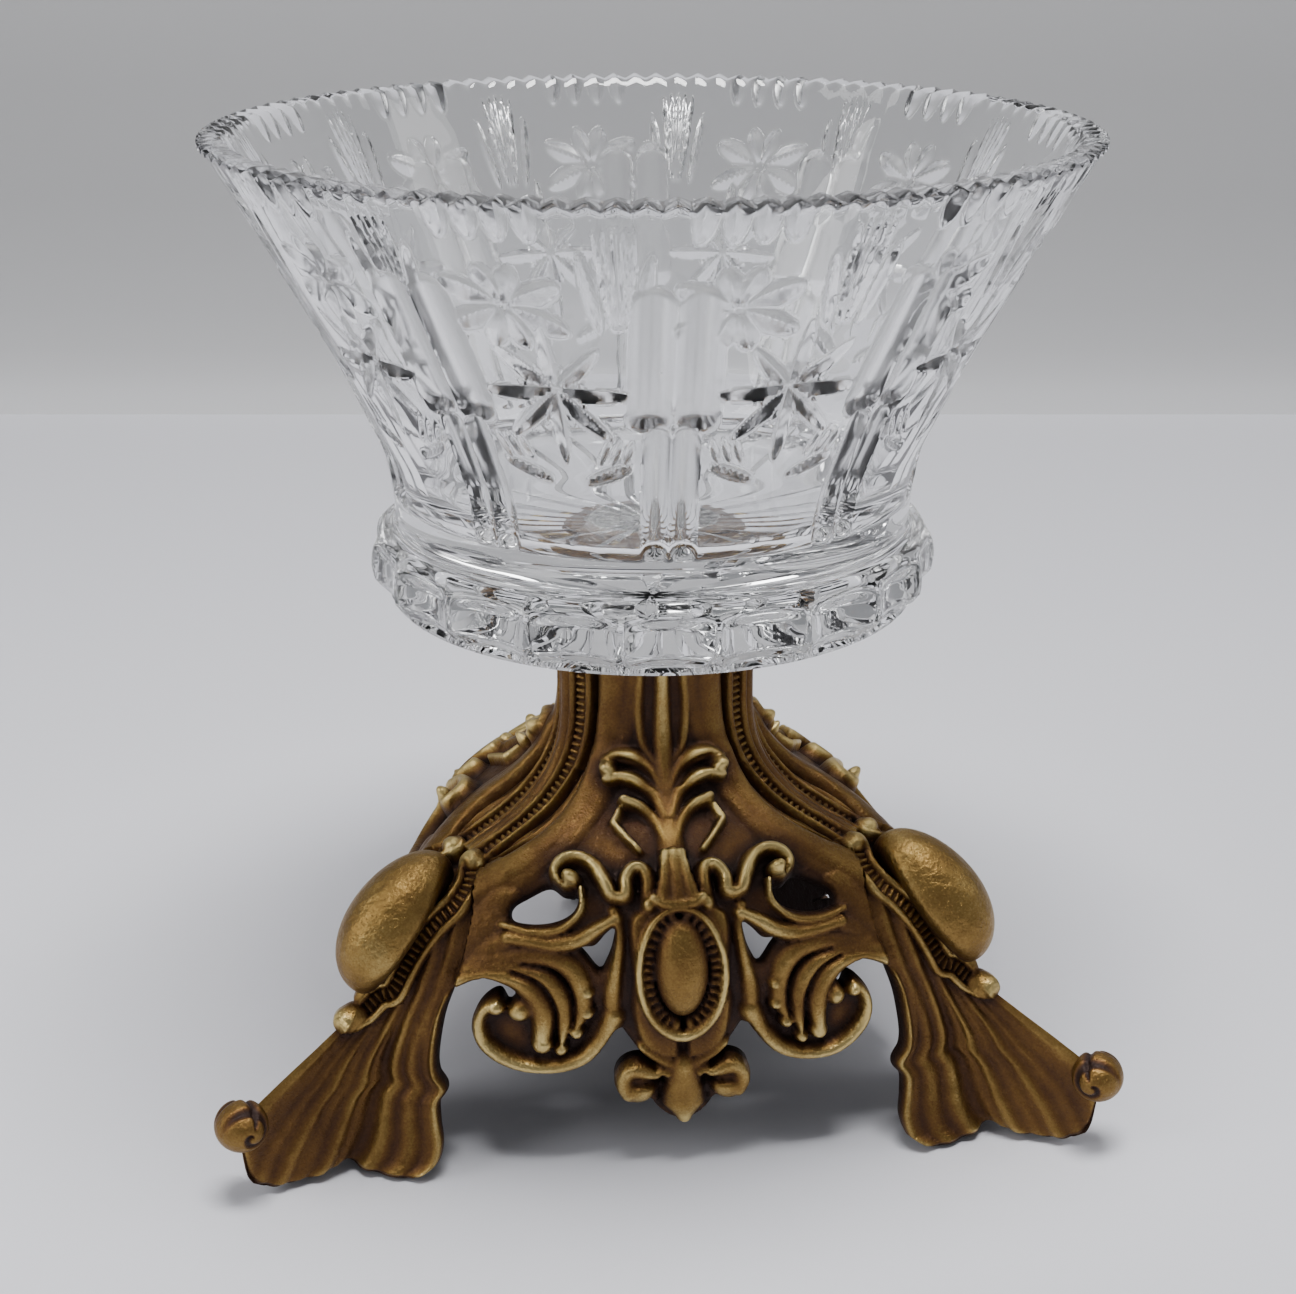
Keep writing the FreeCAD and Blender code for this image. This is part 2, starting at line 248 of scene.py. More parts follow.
SCROLL_EDGE = [(31.6, 64.0), (29.0, 63.6), (26.6, 64.9), (25.4, 66.6), (26.4, 67.9), (27.6, 65.9),
               (29.6, 66.8), (31.3, 69.2), (31.8, 72.4), (30.4, 75.6), (27.3, 77.9),
               (23.2, 78.9), (18.4, 78.9), (14.2, 77.2), (11.3, 74.0), (9.9, 72.6),
               (8.3, 74.4), (6.6, 76.6), (4.4, 78.0), (4.2, 79.0)]
DROP_EDGE = [(6.2, 77.5), (8.6, 77.7), (10.3, 79.2), (10.8, 81.8), (9.9, 84.4), (7.6, 86.0),
             (5.2, 85.9), (4.2, 87.6), (2.4, 89.6), (0.0, 90.8)]
UPPER_HOLE = [(15.2, 50.4), (17.4, 49.9), (19.4, 47.9), (22.0, 48.8), (25.2, 51.4), (25.6, 54.2),
              (22.3, 55.3), (18.6, 54.9), (16.0, 53.2)]
LOWER_HOLE = [(10.0, 56.6), (11.4, 57.6), (13.2, 59.4), (15.4, 59.6), (14.6, 61.0), (12.6, 63.6),
              (11.4, 62.0), (10.4, 59.4)]


def panel_outline():
    """Half outline of a panel, from the top middle round to the tip of the drop."""
    runs = np.linspace(PANEL_TOP, ARCH_RUN, 60)
    seam = np.stack([seam_at(runs), runs], -1)
    lower = smooth_path([tuple(seam[-1])] + SCROLL_EDGE, 5)
    drop = smooth_path([SCROLL_EDGE[-1]] + DROP_EDGE, 5)
    return np.vstack([seam, lower[1:], drop[1:]])


def mirrored(points):
    """The same drawing folded onto the right half, since a panel is symmetric."""
    return np.stack([np.abs(points[:, 0]), points[:, 1]], -1)


def panel_relief(points):
    """Relief of palmette, straps, medallion, scrolls and drop."""
    r = Relief(mirrored(points))
    # shoulders that run down beside the seam and out into the legs
    r.rib([(7.9, 0), (7.9, 12), (8.9, 21), (12.2, 30), (17.0, 37), (23.5, 43.4), (31, 48.8)],
          (2.2, 2.2, 2.3, 2.4, 2.6, 2.9), 1.2)
    r.rib([(4.9, 0), (4.9, 12), (6.4, 20), (9.4, 28.4), (12.8, 34.5), (18.4, 41.0), (25, 46.2), (33, 52)],
          (1.5, 1.4, 1.5, 1.9, 2.3, 2.6), 0.8)
    r.rib([(27.0, 49.5), (29.3, 54.0), (31.2, 58.0), (33.8, 62.5)], (2.6, 3.4, 4.2), 0.8)
    r.rib([(24.8, 57.2), (28.2, 59.0), (32.0, 62.6)], (1.3, 1.9, 2.4), 1.3)
    # stem and palmette
    r.sink([(1.2, 12.5), (2.6, 13.5), (3.4, 18), (3.0, 23.5), (1.2, 25.5)], 1.5, 0.7)
    r.rib([(0, 0), (0, 16), (0, 30), (0, 38), (0, 46)], (0.9, 1.0, 1.3, 1.5, 2.0), 1.9)
    r.rib([(3.4, 11), (3.8, 17), (3.2, 22.8), (1.4, 26.2)], (0.6, 0.7, 0.6, 0.5), 1.3)
    r.plate([(0.4, 33), (2.0, 28), (4.2, 24.6), (7.0, 23.8), (9.2, 25.6), (9.4, 28.6), (7.2, 29.6),
             (3.4, 30.4)], 1.0, 0.6)
    r.rib([(0.5, 36.5), (1.7, 32.2), (3.8, 29.6), (6.4, 28.6), (8.6, 29.2)], (0.8, 1.0, 1.2, 1.4, 1.0), 2.2)
    r.rib([(0.7, 31), (2.2, 27.2), (4.4, 24.9), (6.9, 24.2), (8.7, 25.4)], (0.5, 0.7, 0.9, 1.1, 1.0), 1.9)
    r.dome((8.3, 27.2), (1.5, 2.6), 2.6)
    r.cut([(2.2, 30.2), (4.2, 27.4), (7.0, 26.5)], 0.5, 0.6)
    r.rib([(0.8, 41), (1.9, 37.2), (3.8, 34.4), (6.4, 33.2)], (0.7, 0.8, 0.9, 1.1), 1.9)
    r.dome((6.3, 33.3), (1.2, 1.2), 2.1)
    r.sink([(2.2, 42.6), (1.9, 39.4), (3.6, 36.2), (6.4, 35.4), (7.6, 37.2), (5.0, 41.6)], 0.7, 0.8)
    r.rib([(7.3, 34.5), (8.6, 37.2), (6.9, 39.9), (5.0, 42.7)], (0.5, 0.6, 0.6, 0.5), 1.3, smooth=False)
    # collar
    r.plate([(0, 43.4), (2.2, 43.4), (3.2, 52.6), (0, 53.4)], 2.6, 0.7)
    for across, half in ((0.0, 0.75), (1.7, 0.65)):
        r.rib([(across * 0.7, 43.8), (across, 48), (across * 1.35, 52.2)], (half, half, half * 1.3), 0.9, 2.2)
    r.rib([(0, 53.1), (2.2, 52.9), (3.6, 52.0)], (1.0, 1.0, 0.7), 1.6, 1.8)
    # straps with inner and outer curls
    r.rib([(16.6, 48.6), (17.9, 46.6), (16.9, 44.4), (14.6, 43.7), (12.4, 45.0), (10.9, 48.2), (9.9, 51.0),
           (7.9, 51.2), (7.6, 48.4), (6.3, 46.2), (4.7, 46.4), (4.0, 48.8), (4.2, 51.6), (4.6, 53.8)],
          (1.0, 1.1, 1.2, 1.2, 1.2, 1.1, 1.1, 1.1, 1.2, 1.3, 1.2), 2.0)
    r.dome((15.9, 47.8), (1.7, 1.7), 2.6)
    r.cut([(17.0, 48.6), (17.2, 46.6), (15.6, 45.9)], 0.35, 0.7)
    r.dome((4.4, 53.0), (1.3, 1.7), 2.8)
    # straps round the openings
    r.rib([(9.6, 55.0), (12.4, 56.4), (15.6, 58.1), (19.0, 58.6), (22.6, 58.0), (26.0, 57.3)],
          (1.0, 1.1, 1.2, 1.1, 1.0), 1.9)
    r.rib([(14.4, 49.6), (14.9, 53.4), (18.0, 56.3), (22.6, 56.6), (26.6, 55.2)],
          (0.5, 0.6, 0.7, 0.7, 0.6), 1.6)
    r.rib([(9.9, 53.6), (9.3, 58), (9.9, 62.4), (10.8, 67.4), (10.6, 72.4)], (0.8, 0.8, 0.9, 1.2, 1.0), 1.4)
    # medallion
    back = [(0, 52), (6.6, 53.4), (8.2, 57), (7.9, 64), (8.2, 70), (6.9, 75), (3.6, 77.4), (0, 78)]
    r.plate(smooth_path(back, 6), 1.7, 1.4)
    r.rib([(0, 79.4), (2.4, 77.8), (4.6, 76.6), (6.6, 75.0)], (1.2, 1.2, 0.9, 0.6), 2.0)
    ring = [(6.6 * math.sin(a), 63.6 - 9.7 * math.cos(a)) for a in np.linspace(0, math.pi, 25)]
    r.sink(ring + [(-1.0, 73.3), (-1.0, 53.9)], 0.9, 0.5)
    r.teeth([(5.25 * math.sin(a), 63.4 - 8.4 * math.cos(a)) for a in np.linspace(0.25, 2.9, 22)],
            0.95, 1.25, 0.75, 1.5)
    r.rib(ring, (0.5, 0.55, 0.6, 0.75), 1.5, 1.7)
    r.dome((0, 62.8), (4.2, 7.6), 3.6, 1.0)
    # acanthus scroll
    r.sink([(24.0, 64.0), (14.5, 64.5), (12.6, 70), (15.5, 76), (22, 77.6), (28.0, 75.6), (30.4, 71.0),
            (28.6, 68.2), (25.4, 69.6)], 0.7, 1.2)
    r.rib([(10.7, 70.6), (12.4, 74.0), (15.4, 76.7), (19.2, 77.9), (23.6, 77.7), (27.5, 75.9), (30.1, 73.2),
           (30.6, 70.2), (29.5, 68.2), (28.0, 67.4)], (1.5, 1.3, 1.1, 1.0, 0.9, 0.9, 0.9, 0.9), 2.0)
    r.dome((27.9, 67.9), (1.5, 1.4), 2.5)
    r.rib([(30.4, 61.2), (26.2, 60.6), (22.0, 60.4), (18.2, 61.6), (15.8, 64.8), (15.5, 69.4), (17.2, 72.6)],
          (1.8, 1.7, 1.6, 1.5, 1.5, 1.3, 0.4), 1.7)
    r.rib([(31.6, 62.4), (27.2, 61.8), (23.2, 62.6), (20.0, 65.2), (18.3, 69.4), (18.7, 74.2)],
          (1.8, 1.7, 1.6, 1.6, 1.5, 0.4), 2.1)
    r.rib([(32.6, 63.8), (28.6, 62.9), (25.2, 63.6), (22.6, 66.2), (21.2, 70.0), (21.8, 74.0)],
          (1.5, 1.5, 1.5, 1.6, 1.8, 1.1), 2.6)
    r.dome((21.6, 74.0), (1.7, 1.5), 2.5)
    for across, run in ((14.6, 66.4), (14.7, 69.6), (16.4, 72.6), (18.9, 75.0)):
        r.dome((across, run), (1.2, 1.0), 1.9)
    r.cut([(24.0, 61.4), (19.6, 62.9), (17.0, 66.6), (17.0, 71.6)], 0.35, 0.8)
    r.cut([(25.4, 62.5), (21.6, 64.6), (19.6, 68.6), (19.9, 73.0)], 0.35, 0.9)
    r.dome((24.6, 68.6), (1.9, 1.9), 2.4)
    # the palmette and the straps stand well proud of the wall
    run, far = r.points[:, 1], np.abs(r.points[:, 0])
    r.height = r.height * (1 + 0.7 * ramp((run - 21) / 4) * ramp((53 - run) / 4) * ramp((far - 2.5) / 3))
    # drop
    r.rib([(0, 78.6), (0, 81), (0, 84.5), (0, 88.6)], (2.0, 2.4, 2.9, 2.9, 1.2), 2.8)
    r.rib([(2.6, 79.6), (5.4, 79.4), (8.2, 79.0), (9.4, 81.0), (8.6, 83.6)], (0.9, 1.3, 1.6, 1.6, 1.5), 2.4)
    r.dome((7.2, 82.9), (2.9, 2.7), 2.3)
    r.cut([(3.0, 81.8), (5.4, 81.6), (7.6, 81.4)], 0.45, 0.9)
    r.cut([(3.3, 80.0), (3.4, 84.0), (3.9, 87.0)], 0.5, 0.8)
    return r.height


def grid_faces(rows, columns):
    index = np.arange(rows * columns).reshape(rows, columns)
    return np.stack([index[:-1, :-1], index[1:, :-1], index[1:, 1:], index[:-1, 1:]], -1)


def normals_of(points, rows, columns):
    """Unit normals of a grid of points, outward for rows down and columns right."""
    p = points.reshape(rows, columns, 3)
    down = np.gradient(p, axis=0)
    right = np.gradient(p, axis=1)
    n = np.cross(down, right)
    n /= np.linalg.norm(n, axis=2, keepdims=True) + 1e-12
    return n.reshape(-1, 3)


def blur(field, rows, columns, reach):
    """Box blur of a field on a grid, run twice."""
    f = field.reshape(rows, columns)
    for _ in range(2):
        for axis in (0, 1):
            pad = [(0, 0), (0, 0)]
            pad[axis] = (reach + 1, reach)
            total = np.cumsum(np.pad(f, pad, mode="edge"), axis=axis)
            size = f.shape[axis]
            hi = np.take(total, np.arange(2 * reach + 1, 2 * reach + 1 + size), axis=axis)
            lo = np.take(total, np.arange(0, size), axis=axis)
            f = (hi - lo) / (2 * reach + 1)
    return f.reshape(-1)


def new_object(name, vertices, faces, attributes=None, crease=50):
    """Mesh object from millimetre points, smooth-shaded but for sharp creases."""
    mesh = bpy.data.meshes.new(name)
    placed = (np.asarray(vertices, float) + (0, AXIS_Y, 0)) * MM
    mesh.from_pydata(placed.tolist(), [], [[int(i) for i in f] for f in faces])
    for key, values in (attributes or {}).items():
        layer = mesh.attributes.new(key, "FLOAT", "POINT")
        layer.data.foreach_set("value", np.asarray(values, np.float32))
    mesh.validate()
    mesh.shade_smooth()
    mesh.set_sharp_from_angle(angle=math.radians(crease))
    piece = bpy.data.objects.new(name, mesh)
    bpy.context.scene.collection.objects.link(piece)
    return piece


def shell(front, back, keep, quads, extra):
    """Closed sheet from two matching point grids and the cells that are kept."""
    cells = quads[keep]
    count = len(front)
    edges = {}
    for cell in cells:
        for a, b in zip(cell, np.roll(cell, -1)):
            if (b, a) in edges:
                del edges[(b, a)]
            else:
                edges[(a, b)] = True
    walls = [(b, a, a + count, b + count) for a, b in edges]
    faces = [tuple(c) for c in cells] + [tuple(c[::-1] + count) for c in cells] + walls
    used = np.unique(np.array(faces))
    remap = np.full(2 * count, -1)
    remap[used] = np.arange(len(used))
    faces = [tuple(remap[list(f)]) for f in faces]
    vertices = np.vstack([front, back])[used]
    attributes = {k: np.concatenate([v, np.full(count, v.min())])[used] for k, v in extra.items()}
    return vertices, faces, attributes


PANEL_STEP = 0.33
PANEL_THICK = 2.4
PANEL_HALF = 35.4


def build_panel_mesh():
    """One panel, facing -Y: pierced sheet with relief in front and a plain back."""
    across = np.arange(-PANEL_HALF, PANEL_HALF + PANEL_STEP / 2, PANEL_STEP)
    runs = np.arange(PANEL_TOP - PANEL_STEP, PANEL_END + PANEL_STEP, PANEL_STEP)
    rows, columns = len(runs), len(across)
    grid = np.stack(np.meshgrid(across, runs), -1).reshape(-1, 2)
    folded = mirrored(grid)
    normal = normals_of(wall_point(grid[:, 0], grid[:, 1]), rows, columns)
    half = panel_outline()
    depth = signed(grid, np.vstack([half, (half * (-1, 1))[half[:, 0] > 1e-6][::-1]]))
    for hole in (UPPER_HOLE, LOWER_HOLE):
        depth = np.minimum(depth, -signed(folded, smooth_path(hole, 5, closed=True)))
    quads = grid_faces(rows, columns).reshape(-1, 4)
    keep = depth[quads].mean(-1) > 0
    # pull the points along the rim onto the outline
    slope_row, slope_col = np.gradient(depth.reshape(rows, columns), PANEL_STEP)
    slope = np.stack([slope_col.ravel(), slope_row.ravel()], -1)
    slope /= np.linalg.norm(slope, axis=1, keepdims=True) + 1e-9
    rim = np.intersect1d(quads[keep], quads[~keep])
    shift = np.clip(depth, -PANEL_STEP, PANEL_STEP)
    grid[rim] -= shift[rim, None] * slope[rim]
    depth[rim] = 0
    height = panel_relief(grid)
    seam_gap = seam_at(grid[:, 1]) - np.abs(grid[:, 0])
    beside_strip = (grid[:, 1] < 43) & (seam_gap < 3)
    round_r = np.where(beside_strip, 1.1, np.where((seam_gap < 1.0) & (grid[:, 1] < ARCH_RUN), 0.35, 0.9))
    roll = 1 - arc(1 - np.clip(depth / round_r, 0, 1))
    swing = ramp((32 - np.abs(grid[:, 0])) / 12) * np.interp(grid[:, 1], *zip(*LEAN))
    base = wall_point(grid[:, 0] + swing, grid[:, 1])
    tall = height - roll * (0.5 * height + 0.9)
    relief = height - blur(height, rows, columns, max(2, round(1.6 / PANEL_STEP)))
    front = base + normal * tall[:, None]
    back = base - normal * PANEL_THICK
    # the relief attribute sets the gilt's colour: darker in the hollows and along the rolled edges of the
    # outline and openings, painted shade as well as patina
    return shell(front, back, keep, quads, {"relief": relief - 0.5 * roll})


def turned_copy(piece, name, turns):
    """The same mesh turned about the dish's axis by some thirds of a turn."""
    twin = piece.copy()
    twin.name = name
    twin.data = piece.data.copy()
    axis = mathutils.Matrix.Translation((0, AXIS_Y * MM, 0))
    spin = mathutils.Matrix.Rotation(turns * 2 * math.pi / SIDES, 4, "Z")
    twin.data.transform(axis @ spin @ axis.inverted())
    bpy.context.scene.collection.objects.link(twin)
    return twin


# ---------------- leg drawing

LEG_ROWS = 290
LEAF_ROWS = 120
WING = 90
LEG_THICK = 2.6
DENTIL_PITCH = 1.2
# what hangs this far under the table is pressed into the leaf's lowest millimetres
HANG, PRESSED = 1.4, 3.0
# the leaf of the front-right leg: its inner edge, ridge, and edge on the table
INNER_EDGE = [(38.1, 33.3, 27.6), (39.2, 34.0, 21.3), (39.0, 34.5, 17.8), (37.6, 35.0, 15.2),
              (38.9, 35.5, 12.9), (38.8, 36.2, 9.5), (38.4, 37.2, 6.1), (39.5, 38.1, 2.8), (42.6, 39.0, 0.2)]
RIDGE = [(61.0, 26.8), (66.7, 23.2), (74.7, 18.6), (79.5, 15.3), (82.0, 10.5)]
TOE_EDGE = [(0.0, 42.6, 39.0, 0.2), (0.1, 45.1, 39.3, 0.0), (0.2, 47.6, 38.6, 0.1), (0.31, 51.3, 37.2, 0.6),
            (0.42, 54.5, 35.6, 1.7), (0.5, 57.3, 36.6, 0.7), (0.6, 60.5, 38.1, 0.1), (0.7, 63.8, 39.3, 0.0),
            (0.8, 66.8, 40.3, 0.6), (0.88, 68.9, 41.0, 2.4), (0.94, 70.2, 41.4, 5.2), (1.0, 71.0, 41.0, 10.5)]
# the dentil border round the knee: across the wall in true millimetres, run down it
BORDER = [(31.7, 43.4), (32.4, 47.3), (34.6, 51.4), (37.8, 54.5), (40.8, 57.8), (43.3, 61.6), (45.4, 65.0)]
BORDER_END = [(47.6, 30.6), (50.2, 28.3), (52.9, 27.3)]
FOLD = np.array([math.cos(math.pi / SIDES), math.sin(math.pi / SIDES), 0])


def on_diagonal(ridge, height):
    """Point of the front-right leg's own plane."""
    turn = math.pi / SIDES
    return (ridge * math.sin(turn), -ridge * math.cos(turn), height)


def leg_sheet():
    """Front wing of the front-right leg: grid of points, share across, share down the leaf."""
    t = np.linspace(0, 1, WING)
    runs = np.linspace(PANEL_TOP, ARCH_RUN, LEG_ROWS)
    inner, outer = seam_at(runs), ridge_across(runs)
    across = inner[:, None] + t * (outer - inner)[:, None]
    upper = wall_point(across, np.repeat(runs[:, None], WING, 1))
    s = np.linspace(0, 1, LEAF_ROWS)

    def along(start, points):
        line = smooth_path([tuple(start)] + points, 12)
        run = np.concatenate([[0], np.cumsum(np.linalg.norm(np.diff(line, axis=0), axis=1))])
        return np.stack([np.interp(s * run[-1], run, line[:, k]) for k in range(3)], -1)

    edge = along(upper[-1, 0], [(x, -b, z) for x, b, z in INNER_EDGE])
    top = along(upper[-1, -1], [on_diagonal(r, z) for r, z in RIDGE])
    fine = smooth_path(TOE_EDGE, 12)
    low = np.stack([np.interp(t, fine[:, 0], fine[:, k]) for k in (1, 2, 3)], -1) * (1, -1, 1)
    low[0], low[-1] = edge[-1], top[-1]
    lower = edge[:, None] + t[None, :, None] * (top - edge)[:, None]
    lower = lower + (s ** 1.6)[:, None, None] * (low - lower[-1])[None]
    # carry the wall's bow into the leaf and let it fade
    bow = upper[-1] - (upper[-1, 0] + t[:, None] * (upper[-1, -1] - upper[-1, 0]))
    lower = lower + (1 - ramp(s / 0.4))[:, None, None] * bow[None]
    dish = np.sin(math.pi * t)[None, :] * np.sin(math.pi * np.clip(s, 0, 0.93))[:, None]
    lower[..., 1] += 1.5 * dish
    lower[..., 2] -= 0.8 * dish
    sheet = np.vstack([upper, lower[1:]])
    depth = np.concatenate([np.zeros(LEG_ROWS), s[1:]])
    return sheet, np.broadcast_to(t, sheet.shape[:2]), np.broadcast_to(depth[:, None], sheet.shape[:2])


def dentils(relief, gap, along, length, half, base, tall):
    """A sunk channel with a row of teeth, and a rail along each side of it."""
    wave = np.clip(0.5 + 1.0 * np.cos(2 * math.pi * round(length / DENTIL_PITCH) * along), 0, 1)
    row = base + tall * wave * ramp((half - gap) / 0.35)
    relief.put(gap < half, row)
    rail = arc((gap - half - 0.5) / 0.62)
    relief.lift(np.abs(gap - half - 0.5) < 0.62, base + 0.4 + 0.9 * rail)


def length_of(line):
    return np.linalg.norm(np.diff(line, axis=0), axis=1).sum()


def leg_relief(sheet, t, s):
    """Dentil borders, webs beside the knee, and the veins of the leaf."""
    shape = sheet.shape[:2]
    points = sheet.reshape(-1, 3)
    seam_gap = np.linalg.norm(sheet - sheet[:, :1], axis=2).ravel()
    width = np.linalg.norm(sheet[:, -1] - sheet[:, 0], axis=1)[:, None].repeat(shape[1], 1).ravel()
    t, s = t.ravel(), s.ravel()
    height = points[:, 2]
    r = Relief(points)

    def on_sheet(x, z):
        k = np.argmin((points[:, 0] - x) ** 2 + (height - z) ** 2)
        return tuple(points[k])

    reach = np.hypot(points[:, 0], points[:, 1])
    web_zone = ramp((57 - height) / 5) * ramp((height - 18) / 10)
    for place, wide, tall in ((0.16, 0.07, 0.7), (0.36, 0.07, 0.9), (0.55, 0.06, 0.7)):
        r.height += tall * hump(t - place, wide) * web_zone
    # the neck strip: ridge band, dentils, and the groove that parts it from the web
    strip_end = sheet[:, -1][np.hypot(sheet[:, -1, 0], sheet[:, -1, 1]) < 38.0]
    ridge_gap, along = nearest(points, strip_end[::2])
    strip_zone = (reach < 37.5) & (ridge_gap < 5.2) & (s == 0)
    r.put(strip_zone, 0.5 * ramp((5.2 - ridge_gap) / 0.5))
    band = np.where(strip_zone, np.abs(ridge_gap - 2.75), 99.0)
    dentils(r, band, along, length_of(strip_end), 1.05, -0.1, 0.7)
    r.lift(strip_zone & (ridge_gap < 1.1), 0.5 + 0.7 * arc(ridge_gap / 1.1))
    r.height -= 0.9 * hump(ridge_gap - 5.0, 0.45) * ((reach < 36) & (s == 0) & (width > 6.5))
    # the knee border with the recess inside it
    upper = [tuple(wall_point(x / widened(v), v)) for x, v in BORDER]
    border_line = smooth_path(upper + [on_sheet(x, z) for x, z in BORDER_END], 6)
    gap, along = nearest(points, border_line)
    line_x = np.interp(-height, -border_line[:, 2], border_line[:, 0])
    knee_side = (points[:, 0] > line_x) & (height < border_line[0, 2]) & (height > 27) & (gap > 1.6)
    r.put(knee_side, -1.2 * ramp((gap - 1.6) / 1.2))
    dentils(r, gap, along, length_of(border_line), 1.15, 0.45, 0.7)
    # knob where the borders meet, and the lip under the knee
    for spot, radius, tall in ((upper[0], 2.0, 2.2), (on_diagonal(61.3, 27.2), 3.4, 1.9)):
        q = np.linalg.norm((points - np.array(spot)) / (radius, radius, radius * 0.75), axis=1)
        r.lift(q < 1, 0.5 + tall * arc(q))
    # the leaf's grooves, and the folds between them
    fan = ramp((s - 0.06) / 0.35)
    for place, width, rise in (
            (0.13, 0.03, -0.405), (0.27, 0.03, -0.45), (0.42, 0.045, -0.765), (0.52, 0.025, -0.315),
            (0.62, 0.03, -0.45), (0.72, 0.025, -0.315), (0.82, 0.03, -0.45), (0.91, 0.02, -0.27),
            (0.2, 0.05, 0.3), (0.34, 0.05, 0.54), (0.57, 0.05, 0.48), (0.77, 0.05, 0.36)):
        drift = place + 0.10 * (1 - s) * (0.55 - place)
        r.height += rise * fan * hump(t - drift, width)
    # beads along the leaf's edge and ridge, the seam, and the leaf's rolled ends
    r.height += 0.8 * hump(t - 0.035, 0.03) * ramp(s / 0.05)
    r.height += 0.7 * hump(1 - t, 0.035) * ramp((s - 0.1) / 0.1)
    r.height -= hump(seam_gap, 0.5) * (s == 0) * (0.25 + 0.9 * ramp((height - 58) / 4))
    r.height -= ramp((s - 0.965) / 0.035)
    r.height -= 0.8 * ramp((0.02 - t) / 0.02) * (s > 0)
    return r.height.reshape(shape)


def build_leg_mesh():
    """The front-right leg's folded sheet, both wings, with relief and a plain back."""
    front, t, s = leg_sheet()
    height = leg_relief(front, t, s)

    def with_twin(wing):
        """The wing with its mirror image in the leg's own plane, ridge in the middle."""
        twin = wing - 2 * (wing @ FOLD)[..., None] * FOLD
        return np.concatenate([wing, twin[:, ::-1][:, 1:]], axis=1)

    whole = with_twin(front)
    tall = np.concatenate([height, height[:, ::-1][:, 1:]], axis=1)
    rows, columns = tall.shape
    normal = normals_of(whole.reshape(-1, 3), rows, columns).reshape(rows, columns, 3)
    outer = whole + normal * tall[..., None]
    own = normals_of(front.reshape(-1, 3), rows, WING).reshape(rows, WING, 3)
    inner = front - own * LEG_THICK
    past = inner @ FOLD
    inner = inner - np.clip(past, 0, None)[..., None] * FOLD
    inner[:, -1] -= (inner[:, -1] @ FOLD)[:, None] * FOLD
    # the leaf's thickness and relief are pressed up from under the table's level
    for skin in (outer, inner):
        level = skin[..., 2]
        pressed = np.clip((level + HANG) * PRESSED / (PRESSED + HANG), 0, PRESSED)
        skin[..., 2] = np.where(level < PRESSED, pressed, level)
    # the relief attribute sets the gilt's colour: dark in the hollows and bright on the ridges, painted shade
    # and painted highlight as well as patina
    relief = tall.ravel() - blur(tall.ravel(), rows, columns, 6)
    keep = np.ones((rows - 1) * (columns - 1), bool)
    return shell(outer.reshape(-1, 3), with_twin(inner).reshape(-1, 3), keep,
                 grid_faces(rows, columns).reshape(-1, 4), {"relief": relief})


def ball_grid(rings, spokes):
    """Unit sphere: points, faces."""
    points, faces = [(0, 0, 1.0)], []
    for i in range(1, rings):
        lat = math.pi * i / rings
        for j in range(spokes):
            lon = 2 * math.pi * j / spokes
            points.append((math.sin(lat) * math.cos(lon), math.sin(lat) * math.sin(lon), math.cos(lat)))
    points.append((0, 0, -1.0))
    for j in range(spokes):
        faces.append((0, 1 + j, 1 + (j + 1) % spokes))
    for i in range(rings - 2):
        for j in range(spokes):
            a, b = 1 + i * spokes + j, 1 + i * spokes + (j + 1) % spokes
            faces.append((a, a + spokes, b + spokes, b))
    last = len(points) - 1
    base = 1 + (rings - 2) * spokes
    for j in range(spokes):
        faces.append((base + j, last, base + (j + 1) % spokes))
    return np.array(points), faces


KNEE_CENTRE = (51.2, 41.6)
KNEE_SIZE = (13.2, 8.3, 8.5)
KNEE_SLOPE = math.radians(48)
TOE_CENTRE = (81.6, 14.4)


def diagonal(points, centre, slope, size):
    """Place unit points on the front-right diagonal: long axis down the slope."""
    outward = np.array(on_diagonal(1, 0))
    up = np.array([0, 0, 1.0])
    along = outward * math.cos(slope) - up * math.sin(slope)
    lift = outward * math.sin(slope) + up * math.cos(slope)
    wide = np.cross(lift, along)
    middle = np.array(on_diagonal(*centre))
    return (middle + points[:, :1] * size[0] * along + points[:, 1:2] * size[1] * wide
            + points[:, 2:3] * size[2] * lift)


def build_knee():
    """Smooth cabochon of the knee, fuller below the middle, narrow where its bezel holds it."""
    unit, faces = ball_grid(48, 96)
    fuller = unit.copy()
    fuller[:, 1] *= 1 + 0.10 * unit[:, 0]
    fuller[:, 2] *= 1 + 0.08 * unit[:, 0]
    fuller[:, 1] *= 0.36 + 0.60 * ramp((unit[:, 2] + 0.42) / 0.75)
    points = diagonal(fuller, KNEE_CENTRE, KNEE_SLOPE, KNEE_SIZE)
    # the relief attribute sets the gilt's colour: dark towards the base where the bezel holds the knee and
    # bright over the dome, painted shade and painted highlight as well as patina
    return points, faces, {"relief": -0.9 + 1.45 * ramp((unit[:, 2] + 0.35) / 0.5)}


def build_toe():
    """Rolled scroll at a leaf's tip: a ball with a spiral groove on both sides."""
    unit, faces = ball_grid(56, 112)
    angle = np.arctan2(unit[:, 2], unit[:, 0])
    radial = np.hypot(unit[:, 0], unit[:, 2])
    swing = np.abs(unit[:, 1])
    spiral = np.sin(angle + 7.0 * radial)
    groove = hump(spiral - 1, 0.35) * ramp((swing - 0.2) / 0.3)
    crease = hump(angle - 2.2, 0.16) * ramp((radial - 0.2) / 0.3)
    size = 1 - 0.10 * groove - 0.16 * crease
    points = diagonal(unit * size[:, None], TOE_CENTRE, math.radians(10), (4.3, 4.6, 4.2))
    # the relief attribute sets the gilt's colour: darker in the spiral groove and the crease, painted shade
    # as well as patina
    return points, faces, {"relief": 0.35 - 1.3 * groove - 1.6 * crease}


